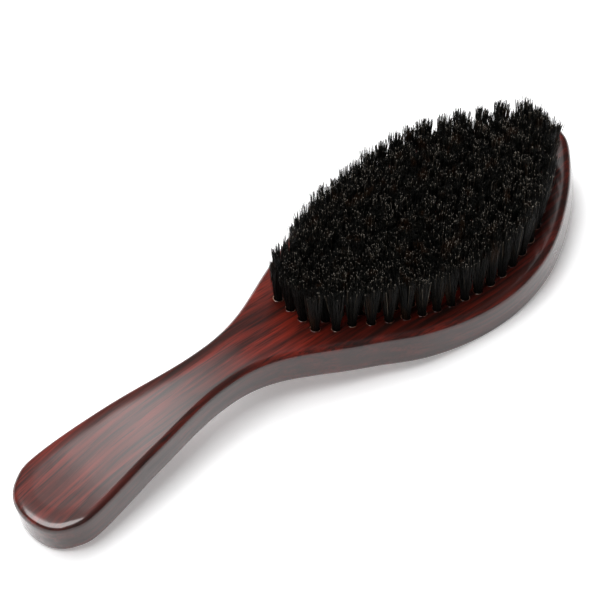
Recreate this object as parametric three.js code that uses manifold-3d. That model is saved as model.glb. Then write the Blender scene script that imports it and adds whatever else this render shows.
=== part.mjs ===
// A beard brush: a one-piece lacquered wooden body, bent along its length, with a pointed oval
// head that holds crosswise rows of bristle tufts in blind drilled holes.
// Millimetres, +Z up, lying on its back with the bristles up and the handle towards -X.
import * as THREE from 'three';
import { mergeVertices } from 'three/addons/utils/BufferGeometryUtils.js';
import Module from 'manifold-3d';

// ---- Driving dimensions -------------------------------------------------------------------

// Half of the plan outline: distance from the handle's end, and half-width there.
const HALF_OUTLINE = [
  [0, 0], [1.5, 7.4], [6, 12.2], [14, 14.5], [40, 11.9], [69, 8.4], [89, 10.6],
  [115, 22], [136, 30.5], [163.5, 34.5], [184.5, 30.9], [203, 20.3], [216.5, 7.6], [220, 0],
];
const OUTLINE_STEPS = 3;

// Side view: height of the bristle face above the table, and thickness of the wood under it.
// The back would dip a little below the table at the handle's end and under the head, and is
// planed flat there, so the brush rests on two small lands.
const FACE_LINE = [[0, 11.9], [40, 19.3], [80, 21.2], [120, 17], [156, 12.3], [190, 15.3], [220, 21.1]];
const THICKNESS_LINE = [[0, 12.5], [60, 11.6], [120, 12.5], [156, 12.9], [220, 12.7]];
const FACE_EDGE_RADIUS = 2.3;
const BACK_EDGE_RADIUS = 1.7;
const EDGE_STEPS = 3;

// Tuft field: straight rows across the head. The outermost tufts stand a margin inside the
// outline, and the field is rounded off at the neck end.
const FIRST_ROW = 106.3;
const LAST_ROW = 208.3;
const ROW_COUNT = 21;
const LARGEST_PITCH = 5.6;
const EDGE_MARGIN = 7.6;
const FIELD_START = 103.5;
const FIELD_END_RADIUS = 13.5;

// One tuft: a blind six-sided hole and the bundle in it, which spreads towards its tip. Tufts
// fan out a little where the face slopes.
const SIDES = 6;
const HOLE_DEPTH = 7;
const HOLE_RADIUS = 1.6;
const FOOT_RADIUS = 0.8;
const FOOT_CLEARANCE = 0.3;
const BRISTLE_HEIGHT = 16.6;
const TIP_HALF_DEPTH = 2.2;
const TIP_OVERLAP = 0.15;
const TUFT_FAN = 0.3;

const WOOD = { color: 0x5a1711, roughness: 0.25, metalness: 0 };
const BRISTLE = { color: 0x14110f, roughness: 0.6, metalness: 0 };

const wasm = await Module();
wasm.setup();

// ---- Smooth curves through stations -------------------------------------------------------

// A cubic curve through [position, value] stations, as a function of position.
function smoothLine(stations) {
  const last = stations.length - 1;
  const slope = (i) => {
    const before = stations[Math.max(i - 1, 0)];
    const after = stations[Math.min(i + 1, last)];
    return (after[1] - before[1]) / (after[0] - before[0]);
  };
  return (position) => {
    let i = 0;
    while (i < last - 1 && position > stations[i + 1][0]) i += 1;
    const [start, startValue] = stations[i];
    const [end, endValue] = stations[i + 1];
    const span = end - start;
    const t = (position - start) / span;
    const bulge = (1 - t) * slope(i) * span - t * slope(i + 1) * span;
    const chord = endValue - startValue;
    return startValue + t * chord + t * (1 - t) * (bulge - (1 - 2 * t) * chord);
  };
}

// The half outline as points from the handle's end to the tip. Its mirror image is carried
// past both ends, so the curve crosses the centre line squarely.
function sampleHalfOutline() {
  const mirrored = ([x, y]) => [x, -y];
  const count = HALF_OUTLINE.length;
  const path = [mirrored(HALF_OUTLINE[1]), ...HALF_OUTLINE, mirrored(HALF_OUTLINE[count - 2])];
  const knots = [0];
  for (let i = 1; i < path.length; i += 1) {
    const gap = Math.hypot(path[i][0] - path[i - 1][0], path[i][1] - path[i - 1][1]);
    knots.push(knots[i - 1] + Math.sqrt(gap));
  }
  const along = smoothLine(path.map(([x], i) => [knots[i], x]));
  const across = smoothLine(path.map(([, y], i) => [knots[i], y]));
  const points = [];
  for (let i = 1; i < count; i += 1) {
    for (let step = 0; step < OUTLINE_STEPS; step += 1) {
      const knot = THREE.MathUtils.lerp(knots[i], knots[i + 1], step / OUTLINE_STEPS);
      points.push([along(knot), across(knot)]);
    }
  }
  points[0] = HALF_OUTLINE[0];
  points.push(HALF_OUTLINE[count - 1]);
  return points;
}

const faceHeight = smoothLine(FACE_LINE);
const thickness = smoothLine(THICKNESS_LINE);

function faceSlope(x) {
  const step = 0.01;
  return (faceHeight(x + step) - faceHeight(x - step)) / (2 * step);
}

// Bends a point of the flat slab: x and y in plan, and a depth square to the bristle face.
function bend(x, y, depth) {
  const slope = faceSlope(x);
  const stretch = Math.hypot(1, slope);
  return new THREE.Vector3(x + (slope * depth) / stretch, y, faceHeight(x) - depth / stretch);
}

// ---- Solids -------------------------------------------------------------------------------

function toManifold(geometry) {
  const bare = geometry.clone();
  bare.deleteAttribute('normal');
  bare.deleteAttribute('uv');
  const merged = mergeVertices(bare, 1e-4);
  return new wasm.Manifold(new wasm.Mesh({
    numProp: 3,
    vertProperties: new Float32Array(merged.attributes.position.array),
    triVerts: new Uint32Array(merged.index.array),
  }));
}

function toGeometry(solid) {
  const mesh = solid.getMesh();
  const geometry = new THREE.BufferGeometry();
  geometry.setAttribute('position', new THREE.BufferAttribute(mesh.vertProperties, 3));
  geometry.setIndex(new THREE.BufferAttribute(mesh.triVerts, 1));
  geometry.computeVertexNormals();
  return geometry;
}

// A closed solid from rings of points, each ring running the same way round.
function ringSolid(rings, capTriangles) {
  const count = rings[0].length;
  const positions = rings.flat().flatMap((point) => [point.x, point.y, point.z]);
  const index = [];
  for (let ring = 0; ring + 1 < rings.length; ring += 1) {
    for (let i = 0; i < count; i += 1) {
      const a = ring * count + i;
      const b = ring * count + ((i + 1) % count);
      index.push(a, b, b + count, a, b + count, a + count);
    }
  }
  const top = (rings.length - 1) * count;
  for (const [a, b, c] of capTriangles) {
    index.push(c, b, a);
    index.push(top + a, top + b, top + c);
  }
  const geometry = new THREE.BufferGeometry();
  geometry.setAttribute('position', new THREE.Float32BufferAttribute(positions, 3));
  geometry.setIndex(index);
  return geometry;
}

// ---- Wooden body --------------------------------------------------------------------------

// Section of the edge, from the back round to the face. Each point is set in from the outline,
// and either rises from the back or drops from the face.
function edgeSection() {
  const back = [];
  const front = [];
  for (let step = 0; step <= EDGE_STEPS; step += 1) {
    const angle = (step / EDGE_STEPS) * (Math.PI / 2);
    const sine = 1 - Math.sin(angle);
    const cosine = 1 - Math.cos(angle);
    back.push({ inset: BACK_EDGE_RADIUS * sine, rise: BACK_EDGE_RADIUS * cosine });
    front.push({ inset: FACE_EDGE_RADIUS * cosine, drop: FACE_EDGE_RADIUS * sine });
  }
  return [...back, ...front];
}

// The whole outline, counter-clockwise from the handle's end, with its inward normals.
function closedOutline(half) {
  const nearSide = half.map(([x, y]) => [x, -y]);
  const farSide = half.slice(1, -1).reverse();
  const loop = [...nearSide, ...farSide];
  return loop.map(([x, y], i) => {
    const before = loop[(i + loop.length - 1) % loop.length];
    const after = loop[(i + 1) % loop.length];
    const tangent = new THREE.Vector2(after[0] - before[0], after[1] - before[1]).normalize();
    return { x, y, normalX: -tangent.y, normalY: tangent.x };
  });
}

// Flat faces are strips across the slab between stations of equal x. At both ends the strip
// narrows to a point, and one of its two triangles has no area.
function stripTriangles(halfCount) {
  const loopCount = 2 * halfCount - 2;
  const triangles = [];
  for (let i = 0; i < halfCount - 1; i += 1) {
    const farHere = (loopCount - i) % loopCount;
    const farNext = loopCount - i - 1;
    triangles.push([i, i + 1, farNext], [i, farNext, farHere]);
  }
  return triangles.filter((corners) => new Set(corners).size === 3);
}

function slabGeometry(half) {
  const outline = closedOutline(half);
  const rings = edgeSection().map(({ inset, rise, drop }) => outline.map((point) => {
    const x = point.x + point.normalX * inset;
    const y = point.y + point.normalY * inset;
    const bent = bend(x, y, drop ?? thickness(x) - rise);
    bent.z = Math.max(bent.z, 0);
    return bent;
  }));
  return ringSolid(rings, stripTriangles(half.length));
}

// ---- Tufts --------------------------------------------------------------------------------

// Half-width of the outline at a distance from the handle's end, and how fast it changes.
function outlineAt(half, x) {
  const i = half.findIndex(([station]) => station >= x);
  const [x0, y0] = half[i - 1];
  const [x1, y1] = half[i];
  return { halfWidth: THREE.MathUtils.mapLinear(x, x0, x1, y0, y1), slope: (y1 - y0) / (x1 - x0) };
}

// Half-width of the tuft field.
function fieldHalfWidth(half, x) {
  const { halfWidth, slope } = outlineAt(half, x);
  const inside = halfWidth - EDGE_MARGIN * Math.hypot(1, slope);
  const fromStart = x - FIELD_START;
  if (fromStart > FIELD_END_RADIUS) return inside;
  return Math.min(inside, Math.sqrt(fromStart * (2 * FIELD_END_RADIUS - fromStart)));
}

function tuftRows(half) {
  const rows = [];
  for (let row = 0; row < ROW_COUNT; row += 1) {
    const x = THREE.MathUtils.lerp(FIRST_ROW, LAST_ROW, row / (ROW_COUNT - 1));
    const reach = fieldHalfWidth(half, x);
    const gaps = Math.ceil((2 * reach) / LARGEST_PITCH);
    const pitch = (2 * reach) / gaps;
    const places = Array.from({ length: gaps + 1 }, (_, i) => -reach + i * pitch);
    rows.push({ x, pitch, places });
  }
  return rows;
}

// Frame of a tuft, which leans with the slope of the face under it.
function tuftFrame(x, y) {
  const up = new THREE.Vector3(faceSlope(x) * TUFT_FAN, 0, 1).normalize();
  const along = new THREE.Vector3(up.z, 0, -up.x);
  return { origin: new THREE.Vector3(x, y, faceHeight(x)), up, along };
}

// A six-sided ring with flats facing its neighbours in the row.
function tuftRing(frame, height, halfDepth, halfPitch) {
  const ring = [];
  for (let side = 0; side < SIDES; side += 1) {
    const angle = (side / SIDES) * 2 * Math.PI;
    const point = frame.origin.clone().addScaledVector(frame.up, height);
    point.addScaledVector(frame.along, halfDepth * Math.cos(angle));
    point.y += (halfPitch * Math.sin(angle)) / Math.sin(Math.PI / 3);
    ring.push(point);
  }
  return ring;
}

function prism(rings) {
  const fan = [];
  for (let side = 1; side + 1 < SIDES; side += 1) fan.push([0, side, side + 1]);
  return ringSolid(rings, fan);
}

function holeSolid(x, y) {
  const frame = tuftFrame(x, y);
  const flat = HOLE_RADIUS * Math.sin(Math.PI / 3);
  const above = 2;
  const bottom = tuftRing(frame, -HOLE_DEPTH, HOLE_RADIUS, flat);
  const top = tuftRing(frame, above, HOLE_RADIUS, flat);
  return toManifold(prism([bottom, top]));
}

function tuftSolid(x, y, pitch) {
  const frame = tuftFrame(x, y);
  const flat = FOOT_RADIUS * Math.sin(Math.PI / 3);
  const foot = tuftRing(frame, FOOT_CLEARANCE - HOLE_DEPTH, FOOT_RADIUS, flat);
  const tip = tuftRing(frame, BRISTLE_HEIGHT, TIP_HALF_DEPTH, pitch / 2 + TIP_OVERLAP);
  return toManifold(prism([foot, tip]));
}

// ---- Assembly -----------------------------------------------------------------------------

function namedMesh(name, geometry, finish) {
  const mesh = new THREE.Mesh(geometry, new THREE.MeshStandardMaterial(finish));
  mesh.name = name;
  return mesh;
}

const brush = new THREE.Group();
const half = sampleHalfOutline();
const rows = tuftRows(half);

const holes = rows.flatMap(({ x, places }) => places.map((y) => holeSolid(x, y)));
const body = toManifold(slabGeometry(half)).subtract(wasm.Manifold.union(holes));
brush.add(namedMesh('brush_body', toGeometry(body), WOOD));

rows.forEach(({ x, pitch, places }, i) => {
  const row = wasm.Manifold.union(places.map((y) => tuftSolid(x, y, pitch)));
  brush.add(namedMesh(`tuft_row_${String(i + 1).padStart(2, '0')}`, toGeometry(row), BRISTLE));
});

// Origin under the middle of the whole brush, on the surface that it lies on.
const bounds = new THREE.Box3().setFromObject(brush);
const middle = bounds.getCenter(new THREE.Vector3());
brush.position.set(-middle.x, -middle.y, -bounds.min.z);

export default brush;
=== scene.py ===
"""A beard brush: its looks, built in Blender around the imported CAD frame.

Shapes are worked out in millimetres along the brush, with x measured from the handle's end,
and written to the meshes in metres in the part's frame.
"""
import math

import bpy
import numpy as np
from mathutils import Matrix, Vector


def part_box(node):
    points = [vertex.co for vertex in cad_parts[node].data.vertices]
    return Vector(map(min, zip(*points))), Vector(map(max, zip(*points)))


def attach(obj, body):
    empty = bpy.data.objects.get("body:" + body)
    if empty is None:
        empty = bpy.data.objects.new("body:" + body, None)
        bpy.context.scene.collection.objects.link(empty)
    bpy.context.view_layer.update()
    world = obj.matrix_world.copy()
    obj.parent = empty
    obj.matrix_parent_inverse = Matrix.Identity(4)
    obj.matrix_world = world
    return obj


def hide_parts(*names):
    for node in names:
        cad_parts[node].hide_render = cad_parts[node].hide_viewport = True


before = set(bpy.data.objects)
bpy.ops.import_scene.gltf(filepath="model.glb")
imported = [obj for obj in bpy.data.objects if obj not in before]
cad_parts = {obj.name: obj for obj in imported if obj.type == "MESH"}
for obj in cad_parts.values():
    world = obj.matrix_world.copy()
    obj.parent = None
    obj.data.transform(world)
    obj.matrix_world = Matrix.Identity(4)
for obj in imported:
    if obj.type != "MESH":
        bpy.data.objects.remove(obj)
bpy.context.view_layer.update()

MM = 0.001
SEED = 20

# ---- Wooden body ----------------------------------------------------------------------------

# Half of the plan outline: distance from the handle's end, and half-width there.
HALF_OUTLINE = (
    (0, 0), (1.5, 7.4), (6, 12.2), (14, 14.5), (40, 11.9), (69, 8.4), (89, 10.6),
    (115, 22), (136, 30.5), (163.5, 34.5), (184.5, 30.9), (203, 20.3), (216.5, 7.6), (220, 0),
)
OUTLINE_STEPS = 14
# Side view: height of the bristle face, and thickness of the wood under it.
FACE_LINE = ((0, 11.9), (40, 19.3), (80, 21.2), (120, 17), (156, 12.3), (190, 15.3), (220, 21.1))
THICKNESS_LINE = ((0, 12.5), (60, 11.6), (120, 12.5), (156, 12.9), (220, 12.7))
FACE_EDGE_RADIUS = 2.3
BACK_EDGE_RADIUS = 1.7
EDGE_STEPS = 7
FLAT_MARGIN = 0.35
# The face is sanded down a little towards its edge.
ROLL_OFF_WIDTH = 5.0
ROLL_OFF_DROP = 0.2
ROLL_OFF_STEPS = 6
# Edges sharper than this many degrees stay sharp, as at the bottoms of the holes.
SHARP_ANGLE = 40

# ---- Tuft field -----------------------------------------------------------------------------

FIRST_ROW = 106.3
LAST_ROW = 208.3
ROW_COUNT = 21
# Across the brush, tufts stand at most this far apart.
LARGEST_PITCH = 5.6
# The outermost tufts stand this far inside the outline, and within an arc next to the neck.
EDGE_MARGIN = 7.6
FIELD_START = 103.5
FIELD_END_RADIUS = 13.5
# Tufts lean along the brush by this share of the slope of the face.
TUFT_FAN = 0.3
HOLE_DEPTH = 7
HOLE_RADIUS = 1.4
RIM_RADIUS = 0.25
HOLE_SIDES = 20
# The cutter of a hole goes on past the face, wider by the flare.
CUTTER_FLARE = 0.3
CUTTER_RISE = 1
# A bead of lacquer stands round the mouth of each hole.
BEAD_RING = 1.55
BEAD_RADIUS = 0.13
BEAD_FLATNESS = 0.6
BEAD_SIDES = 8

# ---- Bristles -------------------------------------------------------------------------------

STRANDS_PER_TUFT = 165
BRISTLE_HEIGHT = 16.6
BRISTLE_BOTTOM = -6.2
FOOT_SPREAD = 1.12
TIP_SPREAD = 2.9
SPREAD_POWER = 0.85
STRAND_RADIUS = 0.09
# Heights of the rings of a strand, as shares of its height above the wood, and its width there.
# The first ring is its end down in the hole.
STRAND_LEVELS = (0, 0, 0.45, 0.965, 1)
STRAND_TAPER = (0.85, 1.0, 0.98, 0.8, 0.7)

# How the strands of a tuft differ. A scatter is a standard deviation in millimetres, and a
# pair of numbers is the lowest and the highest value.
TUFT_SPREAD = (0.9, 1.12)
TUFT_LEAN_SCATTER = 0.32
TUFT_HEIGHT_SCATTER = 0.15
TIP_SCATTER = 0.25
TIP_REACH = 3.4
BOW_SCATTER = 0.2
HEIGHT_SCATTER = 0.5
# The strands gather in clumps. The middles of the clumps are scattered in units of the tuft's
# radius, and each clump pulls its strands this share of the way to its middle.
CLUMPS = 7
CLUMP_SCATTER = 0.6
CLUMP_PULL = (0.05, 0.4)
CLUMP_HEIGHT_SCATTER = 0.35
# The middle tip stands this far below the bristle height, and the highest this far above it.
MIDDLE_BELOW = 0.7
HIGHEST_ABOVE = 0.9
STRAY_SHARE = 0.1
STRAY_SCATTER = 0.85
STRAY_EXTRA_HEIGHT = 1.0
STRAND_THICKNESS = (0.75, 1.2)
# Some strands are pale. Their share differs from tuft to tuft, and their tips are wider.
PALE_SHARE = 0.2
PALE_SHARE_RANGE = (0.2, 1.4)
PALE_SHADE = (0.72, 1)
DARK_SHADE = (0, 0.7)
PALE_TIP_WIDTH = 1.2


def smooth_line(stations):
    """A cubic curve through (position, value) stations, as a function of position."""
    position, value = np.array(stations, float).T
    slope = np.empty(len(position))
    slope[1:-1] = (value[2:] - value[:-2]) / (position[2:] - position[:-2])
    slope[0] = (value[1] - value[0]) / (position[1] - position[0])
    slope[-1] = (value[-1] - value[-2]) / (position[-1] - position[-2])

    def curve(at):
        at = np.asarray(at, float)
        i = np.clip(np.searchsorted(position, at, side="left") - 1, 0, len(position) - 2)
        span = position[i + 1] - position[i]
        t = (at - position[i]) / span
        chord = value[i + 1] - value[i]
        bulge = (1 - t) * slope[i] * span - t * slope[i + 1] * span
        return value[i] + t * chord + t * (1 - t) * (bulge - (1 - 2 * t) * chord)

    return curve


face_height = smooth_line(FACE_LINE)
wood_thickness = smooth_line(THICKNESS_LINE)


def face_slope(x):
    step = 0.01
    return (face_height(x + step) - face_height(x - step)) / (2 * step)


def sample_half_outline():
    """The half outline as points from the handle's end to the tip."""
    points = np.array(HALF_OUTLINE, float)
    mirror = np.array([1, -1])
    path = np.vstack([points[1] * mirror, points, points[-2] * mirror])
    gaps = np.hypot(*np.diff(path, axis=0).T)
    knots = np.concatenate([[0], np.cumsum(np.sqrt(gaps))])
    along = smooth_line(np.column_stack([knots, path[:, 0]]))
    across = smooth_line(np.column_stack([knots, path[:, 1]]))
    share = np.arange(OUTLINE_STEPS) / OUTLINE_STEPS
    samples = [
        knots[i] + share * (knots[i + 1] - knots[i]) for i in range(1, len(HALF_OUTLINE))
    ]
    knot = np.concatenate(samples)
    half = np.column_stack([along(knot), across(knot)])
    half[0] = HALF_OUTLINE[0]
    return np.vstack([half, HALF_OUTLINE[-1]])


def bend(x, y, depth):
    """A point of the flat slab, bent: x and y in plan, and a depth square to the face."""
    slope = face_slope(x)
    stretch = np.hypot(1, slope)
    z = face_height(x) - depth / stretch
    return np.stack([x + slope * depth / stretch, y, z], axis=-1)


def edge_section():
    """(inset, rise or None, drop or None) round the edge, from the back to the face."""
    back, front = [(BACK_EDGE_RADIUS + FLAT_MARGIN, 0, None)], []
    for step in range(EDGE_STEPS + 1):
        angle = step / EDGE_STEPS * math.pi / 2
        sine, cosine = 1 - math.sin(angle), 1 - math.cos(angle)
        back.append((BACK_EDGE_RADIUS * sine, BACK_EDGE_RADIUS * cosine, None))
        front.append((FACE_EDGE_RADIUS * cosine, None, ROLL_OFF_DROP + FACE_EDGE_RADIUS * sine))
    for step in range(1, ROLL_OFF_STEPS + 1):
        share = step / ROLL_OFF_STEPS
        inset = FACE_EDGE_RADIUS + ROLL_OFF_WIDTH * share
        front.append((inset, None, ROLL_OFF_DROP * (1 - share) ** 2))
    return back + front


def closed_outline(half):
    """The whole outline, counter-clockwise from the handle's end, and its inward normals."""
    near = half * [1, -1]
    loop = np.vstack([near, half[-2:0:-1]])
    tangent = np.roll(loop, -1, axis=0) - np.roll(loop, 1, axis=0)
    tangent /= np.hypot(*tangent.T)[:, None]
    return loop, np.column_stack([-tangent[:, 1], tangent[:, 0]])


def cap_faces(half_count, start, upward):
    """Strips across the slab between stations of equal x."""
    loop_count = 2 * half_count - 2
    faces = []
    for i in range(half_count - 1):
        corners = [i, i + 1, loop_count - i - 1, (loop_count - i) % loop_count]
        ring = [start + c for k, c in enumerate(corners) if c not in corners[:k]]
        faces.append(ring if upward else ring[::-1])
    return faces


def new_mesh(name, vertices, faces, offset):
    """A mesh object from points in millimetres along the brush."""
    mesh = bpy.data.meshes.new(name)
    mesh.from_pydata((np.asarray(vertices) * MM + offset).tolist(), [], faces)
    mesh.update()
    piece = bpy.data.objects.new(name, mesh)
    bpy.context.scene.collection.objects.link(piece)
    return piece


def slab(half):
    """Vertices and faces of the bent slab, before it is drilled."""
    loop, normal = closed_outline(half)
    count = len(loop)
    rings = []
    for inset, rise, drop in edge_section():
        x, y = (loop + normal * inset).T
        ring = bend(x, y, wood_thickness(x) - rise if drop is None else drop)
        ring[:, 2] = np.maximum(ring[:, 2], 0)
        rings.append(ring)
    faces = []
    for ring in range(len(rings) - 1):
        low, high = ring * count, (ring + 1) * count
        for i in range(count):
            j = (i + 1) % count
            faces.append([low + i, low + j, high + j, high + i])
    faces += cap_faces(len(half), 0, upward=False)
    faces += cap_faces(len(half), (len(rings) - 1) * count, upward=True)
    return np.vstack(rings), faces


def field_half_width(half, x):
    """Half-width of the tuft field at a distance from the handle's end."""
    i = np.searchsorted(half[:, 0], x)
    (x0, y0), (x1, y1) = half[i - 1], half[i]
    slope = (y1 - y0) / (x1 - x0)
    inside = y0 + slope * (x - x0) - EDGE_MARGIN * math.hypot(1, slope)
    start = x - FIELD_START
    if start > FIELD_END_RADIUS:
        return inside
    return min(inside, math.sqrt(start * (2 * FIELD_END_RADIUS - start)))


def tuft_rows(half):
    """One (x, places across) for each crosswise row."""
    rows = []
    for x in np.linspace(FIRST_ROW, LAST_ROW, ROW_COUNT):
        reach = field_half_width(half, x)
        gaps = math.ceil(2 * reach / LARGEST_PITCH)
        rows.append((x, np.linspace(-reach, reach, gaps + 1)))
    return rows


def tuft_axes(x):
    """Unit vectors up the tuft and along the brush."""
    up = np.array([face_slope(x) * TUFT_FAN, 0, 1])
    up /= np.linalg.norm(up)
    return up, np.array([up[2], 0, -up[0]])


def hole_cutters(rows):
    """Vertices and faces of one closed cutter for each hole, with a rounded mouth."""
    angle = np.arange(HOLE_SIDES) / HOLE_SIDES * 2 * math.pi
    cosine, sine = np.cos(angle), np.sin(angle)
    mouth = [
        (HOLE_RADIUS + RIM_RADIUS * (1 - math.cos(a)), -RIM_RADIUS * (1 - math.sin(a)))
        for a in np.radians([0, 30, 60, 90])
    ]
    mouth.append((HOLE_RADIUS + RIM_RADIUS + CUTTER_FLARE, CUTTER_RISE))
    vertices, faces = [], []
    for x, places in rows:
        up, along = tuft_axes(x)
        for y in places:
            start = len(vertices) * HOLE_SIDES
            centre = np.array([x, y, face_height(x)])
            bottom = centre - up * HOLE_DEPTH
            ring = bottom + HOLE_RADIUS * cosine[:, None] * along
            ring[:, 1] += HOLE_RADIUS * sine
            vertices.append(ring)
            for radius, rise in mouth:
                px, py = x + radius * cosine, y + radius * sine
                vertices.append(np.column_stack([px, py, face_height(px) + rise]))
            for level in range(len(mouth)):
                low = start + level * HOLE_SIDES
                for i in range(HOLE_SIDES):
                    j = (i + 1) % HOLE_SIDES
                    faces.append([low + i, low + j, low + HOLE_SIDES + j, low + HOLE_SIDES + i])
            top = start + len(mouth) * HOLE_SIDES
            faces.append([start + i for i in reversed(range(HOLE_SIDES))])
            faces.append([top + i for i in range(HOLE_SIDES)])
    return np.vstack(vertices), faces


def drill(body, cutter):
    """Cuts every hole out of the body."""
    cut = body.modifiers.new("holes", "BOOLEAN")
    cut.operation = "DIFFERENCE"
    cut.solver = "EXACT"
    cut.object = cutter
    graph = bpy.context.evaluated_depsgraph_get()
    drilled = bpy.data.meshes.new_from_object(body.evaluated_get(graph))
    body.modifiers.clear()
    body.data = drilled
    bpy.data.objects.remove(cutter)


def add_grain(body, offset):
    """Coordinates of the grain: along the brush, across it, and depth below the bent face."""
    place = np.empty(len(body.data.vertices) * 3)
    body.data.vertices.foreach_get("co", place)
    place = (place.reshape(-1, 3) - offset) / MM
    place[:, 2] -= face_height(place[:, 0])
    attribute = body.data.attributes.new("grain", "FLOAT_VECTOR", "POINT")
    attribute.data.foreach_set("vector", (place * MM).astype(np.float32).ravel())


def build_body(half, rows, offset, material):
    body = new_mesh("body", *slab(half), offset)
    drill(body, new_mesh("cutter", *hole_cutters(rows), offset))
    body.data.shade_smooth()
    body.data.set_sharp_from_angle(angle=math.radians(SHARP_ANGLE))
    add_grain(body, offset)
    body.data.materials.append(material)
    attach(body, "root")
    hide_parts("brush_body")


# ---- Bristles -------------------------------------------------------------------------------


def strand_places(rng):
    """Places of a tuft's strands, spread evenly over a disk of radius 1."""
    golden = math.pi * (3 - math.sqrt(5))
    order = np.arange(STRANDS_PER_TUFT)
    angle = order * golden + rng.uniform(0, 2 * math.pi)
    radius = np.sqrt((order + 0.5) / STRANDS_PER_TUFT)
    return radius[:, None] * np.column_stack([np.cos(angle), np.sin(angle)])


def gather_clumps(rng, disk):
    """The places drawn together into clumps, and the number of each strand's clump."""
    centre = rng.normal(0, CLUMP_SCATTER, (CLUMPS, 2))
    clump = np.argmin(((disk[:, None] - centre) ** 2).sum(2), axis=1)
    pull = rng.uniform(*CLUMP_PULL, CLUMPS)[clump][:, None]
    return disk + pull * (centre[clump] - disk), clump


def strand_tips(rng, gathered):
    """Sideways places of the tips, and which strands stray."""
    tip = gathered * TIP_SPREAD * rng.uniform(*TUFT_SPREAD)
    tip = tip + rng.normal(0, TIP_SCATTER, tip.shape)
    stray = rng.random(len(tip)) < STRAY_SHARE
    tip[stray] += rng.normal(0, STRAY_SCATTER, (stray.sum(), 2))
    tip += rng.normal(0, TUFT_LEAN_SCATTER, 2)
    return np.clip(tip, -TIP_REACH, TIP_REACH), stray


def strand_heights(rng, clump, stray):
    """Heights of the tips above the wood."""
    clump_height = rng.normal(0, CLUMP_HEIGHT_SCATTER, CLUMPS)[clump]
    height = BRISTLE_HEIGHT - MIDDLE_BELOW + rng.normal(0, TUFT_HEIGHT_SCATTER) + clump_height
    height = height + rng.normal(0, HEIGHT_SCATTER, len(clump))
    height[stray] += rng.uniform(0, STRAY_EXTRA_HEIGHT, stray.sum())
    return np.minimum(height, BRISTLE_HEIGHT + HIGHEST_ABOVE)


def tuft_points(rng, x, y):
    """Centre lines of a tuft as (rings, strands, 3) points, and its two sideways axes."""
    up, along = tuft_axes(x)
    across = np.array([0, 1, 0])
    disk = strand_places(rng)
    gathered, clump = gather_clumps(rng, disk)
    tip, stray = strand_tips(rng, gathered)
    bow = rng.normal(0, BOW_SCATTER, disk.shape)
    height = strand_heights(rng, clump, stray)
    foot = disk * FOOT_SPREAD
    origin = np.array([x, y, face_height(x)])
    rings = []
    for ring, share in enumerate(STRAND_LEVELS):
        rise = height * share if ring > 0 else np.full(len(disk), float(BRISTLE_BOTTOM))
        aside = foot + (tip - foot) * share**SPREAD_POWER + bow * math.sin(math.pi * share)
        line = origin + rise[:, None] * up + aside[:, :1] * along + aside[:, 1:] * across
        rings.append(line)
    return np.array(rings), along, across


def strand_mesh(rng, rings, along, across, pale):
    """Corners of three-sided tapering tubes along the centre lines."""
    count = rings.shape[1]
    taper = np.array(STRAND_TAPER)[:, None] * np.ones(count)
    taper[-1, pale] *= PALE_TIP_WIDTH
    radius = STRAND_RADIUS * rng.uniform(*STRAND_THICKNESS, count) * taper
    turn = rng.uniform(0, 2 * math.pi, count)
    corners = []
    for side in range(3):
        angle = turn + side * 2 * math.pi / 3
        aside = np.cos(angle)[:, None] * along + np.sin(angle)[:, None] * across
        corners.append(rings + radius[..., None] * aside)
    return np.stack(corners, axis=2)


def strand_faces(strands, levels):
    """Faces of closed strands, whose vertices run strand by strand, ring by ring."""
    one = []
    for level in range(levels - 1):
        low, high = level * 3, (level + 1) * 3
        for i in range(3):
            j = (i + 1) % 3
            one.append((low + i, low + j, high + j))
            one.append((low + i, high + j, high + i))
    top = (levels - 1) * 3
    one.append((top, top + 1, top + 2))
    one.append((2, 1, 0))
    starts = np.arange(strands)[:, None, None] * levels * 3
    return (np.array(one)[None] + starts).reshape(-1, 3)


def add_point_value(mesh, name, values):
    attribute = mesh.attributes.new(name, "FLOAT", "POINT")
    attribute.data.foreach_set("value", np.asarray(values, np.float32))


def build_tuft_row(number, x, places, offset, material):
    rng = np.random.default_rng(SEED + number)
    levels = len(STRAND_LEVELS)
    vertices, shades = [], []
    for y in places:
        rings, along, across = tuft_points(rng, x, y)
        pale = rng.random(STRANDS_PER_TUFT) < PALE_SHARE * rng.uniform(*PALE_SHARE_RANGE)
        corners = strand_mesh(rng, rings, along, across, pale)
        vertices.append(corners.transpose(1, 0, 2, 3).reshape(-1, 3))
        pale_shade = rng.uniform(*PALE_SHADE, STRANDS_PER_TUFT)
        dark_shade = rng.uniform(*DARK_SHADE, STRANDS_PER_TUFT)
        shades.append(np.repeat(np.where(pale, pale_shade, dark_shade), levels * 3))
    strands = len(places) * STRANDS_PER_TUFT
    faces = strand_faces(strands, levels).tolist()
    row = new_mesh(f"bristles_{number:02d}", np.vstack(vertices), faces, offset)
    add_point_value(row.data, "shade", np.concatenate(shades))
    add_point_value(row.data, "reach", np.tile(np.repeat(STRAND_LEVELS, 3), strands))
    row.data.shade_smooth()
    row.data.materials.append(material)
    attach(row, "root")
    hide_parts(f"tuft_row_{number:02d}")


# ---- Lacquer beads --------------------------------------------------------------------------


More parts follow.
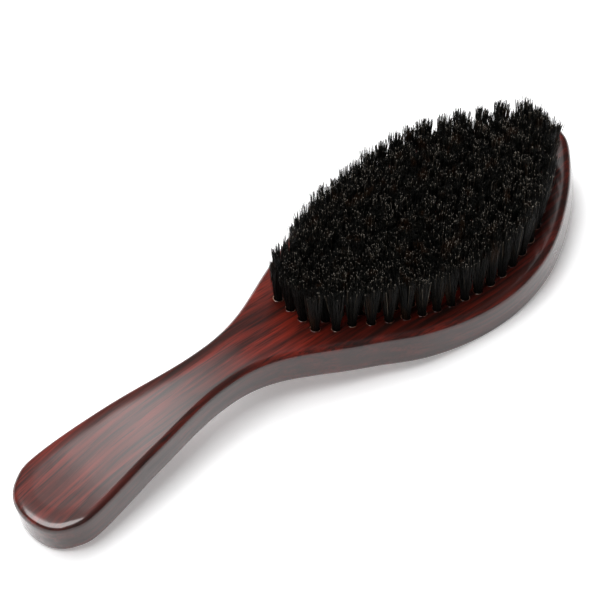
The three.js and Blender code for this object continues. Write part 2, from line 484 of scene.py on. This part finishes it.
def build_beads(rows, offset, material):
    """A low ring of lacquer round the mouth of every hole."""
    turn = np.arange(HOLE_SIDES) / HOLE_SIDES * 2 * math.pi
    roll = np.arange(BEAD_SIDES) / BEAD_SIDES * 2 * math.pi
    radius = BEAD_RING + BEAD_RADIUS * np.cos(roll)[None, :]
    rise = BEAD_FLATNESS * BEAD_RADIUS * np.sin(roll)
    rise = np.broadcast_to(rise[None, :], (HOLE_SIDES, BEAD_SIDES))
    vertices, faces = [], []
    for x, places in rows:
        for y in places:
            start = len(vertices) * HOLE_SIDES * BEAD_SIDES
            px = x + radius * np.cos(turn)[:, None]
            py = y + radius * np.sin(turn)[:, None]
            ring = np.stack([px, py, face_height(px) + rise], axis=-1)
            vertices.append(ring.reshape(-1, 3))
            for i in range(HOLE_SIDES):
                here, there = i * BEAD_SIDES, (i + 1) % HOLE_SIDES * BEAD_SIDES
                for k in range(BEAD_SIDES):
                    m = (k + 1) % BEAD_SIDES
                    corners = (here + k, there + k, there + m, here + m)
                    faces.append([start + corner for corner in corners])
    beads = new_mesh("hole_beads", np.vstack(vertices), faces, offset)
    beads.data.shade_smooth()
    beads.data.materials.append(material)
    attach(beads, "root")


# ---- Anchors --------------------------------------------------------------------------------

ANCHOR_HALF_LENGTH = 1.45
ANCHOR_WIDTH = 1.1
ANCHOR_THICKNESS = 0.35
ANCHOR_BOW = 0.5
ANCHOR_RINGS = 7
# Height of an anchor's middle above the bottom of its hole.
ANCHOR_RISE = 1.3


def anchor_points(x, y):
    """One flat wire anchor, bowed over the fold of its tuft, as rings of four corners."""
    up, along = tuft_axes(x)
    centre = np.array([x, y, face_height(x)]) - up * (HOLE_DEPTH - ANCHOR_RISE)
    rings = []
    for share in np.linspace(-1, 1, ANCHOR_RINGS):
        middle = centre + up * ANCHOR_BOW * (share**2 - 0.5)
        middle = middle + np.array([0, share * ANCHOR_HALF_LENGTH, 0])
        for depth, rise in ((-1, -1), (1, -1), (1, 1), (-1, 1)):
            corner = middle + along * depth * ANCHOR_THICKNESS / 2
            rings.append(corner + up * rise * ANCHOR_WIDTH / 2)
    return rings


def build_anchors(rows, offset, material):
    vertices, faces = [], []
    for x, places in rows:
        for y in places:
            start = len(vertices)
            vertices += anchor_points(x, y)
            end = len(vertices) - 4
            for low in range(start, end, 4):
                for i in range(4):
                    j = (i + 1) % 4
                    faces.append([low + j, low + i, low + 4 + i, low + 4 + j])
            faces.append([start, start + 1, start + 2, start + 3])
            faces.append([end + 3, end + 2, end + 1, end])
    anchors = new_mesh("tuft_anchors", vertices, faces, offset)
    anchors.data.materials.append(material)
    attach(anchors, "root")


# ---- Materials ------------------------------------------------------------------------------

WOOD_DARK = (0.045, 0.0055, 0.003, 1)
WOOD_RED = (0.145, 0.0125, 0.006, 1)
WOOD_PORE = (0.010, 0.004, 0.003, 1)
# Dark colour painted on the sides of the wood as shade.
WOOD_SIDE_SHADE = (0.030, 0.010, 0.008, 1)
BRISTLE_BLACK = (0.0030, 0.0036, 0.0030, 1)
BRISTLE_GREY = (0.010, 0.008, 0.0055, 1)
BRISTLE_BROWN = (0.022, 0.010, 0.004, 1)
BRISTLE_BLOND = (0.12, 0.10, 0.075, 1)
BRISTLE_TIP = (0.36, 0.325, 0.28, 1)
BEAD_RED = (0.07, 0.014, 0.008, 1)
# Pale colour painted on the beads as glints.
BEAD_PAINTED_GLINT = (0.34, 0.19, 0.13, 1)
WIRE_DULL = (0.42, 0.38, 0.30, 1)
WIRE_BRIGHT = (0.62, 0.57, 0.47, 1)
FLOOR_DULL = (0.86, 0.86, 0.865, 1)
FLOOR_BRIGHT = (0.9, 0.9, 0.905, 1)
WHITE = (1, 1, 1, 1)


class Material:
    """A node material, built by adding nodes and naming what feeds each input."""

    def __init__(self, name):
        self.material = bpy.data.materials.new(name)
        self.material.use_nodes = True
        self.tree = self.material.node_tree
        self.shader = self.tree.nodes["Principled BSDF"]

    def add(self, kind, inputs=None, **settings):
        node = self.tree.nodes.new("ShaderNode" + kind)
        for key, value in settings.items():
            setattr(node, key, value)
        self.set(node, inputs or {})
        return node

    def set(self, node, inputs):
        for key, value in inputs.items():
            if isinstance(value, bpy.types.NodeSocket):
                self.tree.links.new(value, node.inputs[key])
            else:
                node.inputs[key].default_value = value

    def noise(self, vector, detail=3, roughness=0.55, distortion=0.0):
        inputs = {
            "Vector": vector, "Scale": 1, "Detail": detail,
            "Roughness": roughness, "Distortion": distortion,
        }
        return self.add("TexNoise", inputs).outputs["Fac"]

    def scaled(self, vector, scale):
        node = self.add("VectorMath", {0: vector, 1: scale}, operation="MULTIPLY")
        return node.outputs["Vector"]

    def between(self, value, low, high):
        """0 below low, 1 above high, smooth in between."""
        inputs = {"Value": value, "From Min": low, "From Max": high}
        node = self.add("MapRange", inputs, interpolation_type="SMOOTHSTEP")
        return node.outputs["Result"]

    def remap(self, value, low, high, new_low, new_high):
        """The range from low to high, stretched to the range from new_low to new_high."""
        inputs = {
            "Value": value, "From Min": low, "From Max": high,
            "To Min": new_low, "To Max": new_high,
        }
        return self.add("MapRange", inputs).outputs["Result"]

    def math(self, operation, a, b):
        return self.add("Math", {0: a, 1: b}, operation=operation).outputs["Value"]

    def mix(self, factor, a, b, blend="MIX"):
        node = self.add("Mix", {}, data_type="RGBA", blend_type=blend)
        for socket, value in ((node.inputs[0], factor), (node.inputs[6], a), (node.inputs[7], b)):
            if isinstance(value, bpy.types.NodeSocket):
                self.tree.links.new(value, socket)
            else:
                socket.default_value = value
        return node.outputs[2]


def wood_material():
    m = Material("lacquered_wood")
    place = m.add("TexCoord").outputs["Object"]
    straight = m.add("Attribute", attribute_name="grain").outputs["Vector"]
    drift = m.add("TexNoise", {"Vector": straight, "Scale": 14, "Detail": 1}).outputs["Color"]
    drift = m.add("VectorMath", {0: drift, 1: (0.5, 0.5, 0.5)}, operation="SUBTRACT")
    drift = m.scaled(drift.outputs["Vector"], (0, 0.004, 0.002))
    grain = m.add("VectorMath", {0: straight, 1: drift}, operation="ADD").outputs["Vector"]

    bands = m.noise(m.scaled(grain, (14, 230, 320)), detail=3)
    colour = m.mix(m.between(bands, 0.38, 0.64), WOOD_DARK, WOOD_RED)
    streaks = m.noise(m.scaled(grain, (18, 400, 520)), detail=4, roughness=0.6)
    dark = m.math("MULTIPLY", m.between(streaks, 0.46, 0.68), 0.8)
    colour = m.mix(dark, colour, WOOD_PORE)
    pores = m.noise(m.scaled(grain, (60, 1300, 1300)), detail=2)
    pores = m.math("MULTIPLY", m.between(pores, 0.52, 0.66), 0.7)
    colour = m.mix(pores, colour, WOOD_PORE)
    fibres = m.noise(m.scaled(grain, (45, 1700, 1700)), detail=2)
    fibre_shade = m.remap(fibres, 0.3, 0.7, 0.7, 1.25)
    shade = m.add("CombineColor", {0: fibre_shade, 1: fibre_shade, 2: fibre_shade})
    colour = m.mix(1.0, colour, shade.outputs["Color"], "MULTIPLY")

    # Near-vertical faces, the sides and the walls of the holes, are mixed towards a dark colour:
    # painted shade.
    facing = m.add("NewGeometry").outputs["Normal"]
    upward = m.add("SeparateXYZ", {0: facing}).outputs["Z"]
    side = m.math("SUBTRACT", 1.0, m.between(m.math("ABSOLUTE", upward, 0), 0.1, 0.6))
    colour = m.mix(m.math("MULTIPLY", side, 0.65), colour, WOOD_SIDE_SHADE)

    ripple = m.noise(m.scaled(place, (160, 160, 160)), detail=2)
    relief = m.math("ADD", ripple, m.math("MULTIPLY", fibres, 0.12))
    bump = m.add("Bump", {"Strength": 0.1, "Distance": 0.0002, "Height": relief})
    rough = m.remap(streaks, 0.3, 0.7, 0.36, 0.5)
    m.set(m.shader, {
        "Base Color": colour, "Roughness": rough, "Specular IOR Level": 0.18,
        "Coat Weight": 1.0, "Coat Roughness": 0.12, "Coat IOR": 1.5,
        "Coat Normal": bump.outputs["Normal"],
    })
    return m.material


def bristle_material():
    m = Material("boar_bristle")
    shade = m.add("Attribute", attribute_name="shade").outputs["Fac"]
    reach = m.add("Attribute", attribute_name="reach").outputs["Fac"]
    place = m.add("TexCoord").outputs["Object"]
    tint = m.noise(m.scaled(place, (220, 220, 60)), detail=1)
    colour = m.mix(m.between(shade, 0.3, 0.9), BRISTLE_BLACK, BRISTLE_GREY)
    colour = m.mix(m.between(tint, 0.58, 0.72), colour, BRISTLE_BROWN)
    blond = m.math("MULTIPLY", m.between(shade, 0.91, 0.94), m.between(reach, 0.1, 0.5))
    colour = m.mix(blond, colour, BRISTLE_BLOND)
    tips = m.math("MULTIPLY", m.between(reach, 0.965, 1.0), m.between(shade, 0.70, 0.98))
    colour = m.mix(tips, colour, BRISTLE_TIP)
    rough = m.remap(shade, 0, 1, 0.4, 0.55)
    m.set(m.shader, {"Base Color": colour, "Roughness": rough, "Specular IOR Level": 0.14})
    return m.material


def bead_material():
    m = Material("lacquer_bead")
    place = m.add("TexCoord").outputs["Object"]
    # The noise lays random pale patches on the beads, which are painted glints, and also varies
    # their roughness.
    mottle = m.noise(m.scaled(place, (500, 500, 500)), detail=2)
    colour = m.mix(m.between(mottle, 0.5, 0.62), BEAD_RED, BEAD_PAINTED_GLINT)
    rough = m.remap(mottle, 0, 1, 0.2, 0.4)
    m.set(m.shader, {"Base Color": colour, "Roughness": rough, "Coat Weight": 1.0})
    return m.material


def anchor_material():
    m = Material("anchor_wire")
    place = m.add("TexCoord").outputs["Object"]
    marks = m.noise(m.scaled(place, (900, 4000, 900)), detail=2)
    colour = m.mix(marks, WIRE_DULL, WIRE_BRIGHT)
    rough = m.remap(marks, 0, 1, 0.25, 0.45)
    m.set(m.shader, {"Base Color": colour, "Roughness": rough, "Metallic": 1.0})
    return m.material


def floor_material():
    m = Material("white_floor")
    place = m.add("TexCoord").outputs["Object"]
    mottle = m.noise(m.scaled(place, (9, 9, 9)), detail=3)
    colour = m.mix(mottle, FLOOR_DULL, FLOOR_BRIGHT)
    m.set(m.shader, {
        "Base Color": colour, "Roughness": 0.8, "Specular IOR Level": 0.1,
        "Emission Color": WHITE, "Emission Strength": 0.3,
    })
    return m.material


# ---- Studio ---------------------------------------------------------------------------------

CAMERA_TARGET = Vector((0.0049, 0.0092, 0.0097))
CAMERA_AZIMUTH = -42.61
CAMERA_ELEVATION = 48.28
CAMERA_DISTANCE = 0.909
CAMERA_LENS = 177.8
FLOOR_HALF_SIZE = 3.0
# Brightness of the key light at shares of its width, which runs along the brush.
KEY_PROFILE = (
    (0.03, 0), (0.13, 0.7), (0.27, 0.83), (0.43, 1),
    (0.55, 0.9), (0.68, 0.6), (0.82, 0.25), (1, 0),
)


def direction(azimuth, elevation):
    """Unit vector from the brush towards a place: azimuth 0 is the -Y side, 90 the +X side."""
    a, e = math.radians(azimuth), math.radians(elevation)
    return Vector((math.sin(a) * math.cos(e), -math.cos(a) * math.cos(e), math.sin(e)))


def aim(thing, place, target):
    thing.location = place
    thing.rotation_euler = (target - place).to_track_quat("-Z", "Y").to_euler()


def add_camera():
    data = bpy.data.cameras.new("camera")
    data.lens = CAMERA_LENS
    data.sensor_width = 36
    data.clip_start, data.clip_end = 0.05, 20
    camera = bpy.data.objects.new("camera", data)
    bpy.context.scene.collection.objects.link(camera)
    offset = direction(CAMERA_AZIMUTH, CAMERA_ELEVATION) * CAMERA_DISTANCE
    aim(camera, CAMERA_TARGET + offset, CAMERA_TARGET)
    bpy.context.scene.camera = camera


def add_softbox(name, place, size, radiance, seen=True):
    """An area light facing the brush, its width along it. Gloss may or may not reflect it."""
    data = bpy.data.lights.new(name, "AREA")
    data.shape = "RECTANGLE"
    data.size, data.size_y = size
    data.energy = radiance * math.pi * size[0] * size[1]
    light = bpy.data.objects.new(name, data)
    bpy.context.scene.collection.objects.link(light)
    back = Vector(place).normalized()
    right = (Vector((1, 0, 0)) - back * back.x).normalized()
    turn = Matrix((right, back.cross(right), back)).transposed().to_4x4()
    light.matrix_world = Matrix.Translation(place) @ turn
    light.visible_glossy = seen
    return light


def soften(light, profile):
    """Gives a softbox a brightness profile along the brush: (share of the width, brightness)."""
    light.data.use_nodes = True
    tree = light.data.node_tree
    across = tree.nodes.new("ShaderNodeSeparateXYZ")
    spread = tree.nodes.new("ShaderNodeValToRGB")
    place = tree.nodes.new("ShaderNodeNewGeometry")
    tree.links.new(place.outputs["Parametric"], across.inputs[0])
    tree.links.new(across.outputs["X"], spread.inputs[0])
    tree.links.new(spread.outputs["Color"], tree.nodes["Emission"].inputs["Strength"])
    ramp = spread.color_ramp
    while len(ramp.elements) < len(profile):
        ramp.elements.new(0.5)
    for element, (share, brightness) in zip(ramp.elements, profile):
        element.position = share
        element.color = (brightness, brightness, brightness, 1)


def add_floor():
    h = FLOOR_HALF_SIZE / MM
    corners = [(-h, -h, 0), (h, -h, 0), (h, h, 0), (-h, h, 0)]
    floor = new_mesh("floor", corners, [[0, 1, 2, 3]], np.zeros(3))
    floor.data.materials.append(floor_material())


def add_world(radiance):
    world = bpy.data.worlds.new("studio")
    world.use_nodes = True
    background = world.node_tree.nodes["Background"]
    background.inputs["Color"].default_value = WHITE
    background.inputs["Strength"].default_value = radiance
    bpy.context.scene.world = world


def add_studio():
    add_camera()
    add_floor()
    add_world(0.1)
    key = add_softbox("key", (0.199, 0.383, 0.906), (0.65, 0.46), 4.4)
    soften(key, KEY_PROFILE)
    add_softbox("left", (-0.35, 0.0, 0.95), (0.5, 0.5), 6.0, seen=False)
    # A panel seen only in reflections, placed to shine on the handle's end.
    panel = add_softbox("handle_glint", (-0.6, 0.06, 0.9), (0.82, 1.2), 7.5)
    panel.visible_diffuse = False
    add_softbox("back_fill", (0.0, 0.85, 1.35), (2.0, 2.0), 2.6, seen=False)
    bpy.context.scene.view_settings.view_transform = "Standard"


# ---- Assembly -------------------------------------------------------------------------------


def build_brush():
    half = sample_half_outline()
    rows = tuft_rows(half)
    vertices, _ = slab(half)
    low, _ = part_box("brush_body")
    offset = np.array([low.x - vertices[:, 0].min() * MM, 0, 0])
    build_body(half, rows, offset, wood_material())
    bristle = bristle_material()
    for number, (x, places) in enumerate(rows, start=1):
        build_tuft_row(number, x, places, offset, bristle)
    build_beads(rows, offset, bead_material())
    build_anchors(rows, offset, anchor_material())


build_brush()
add_studio()
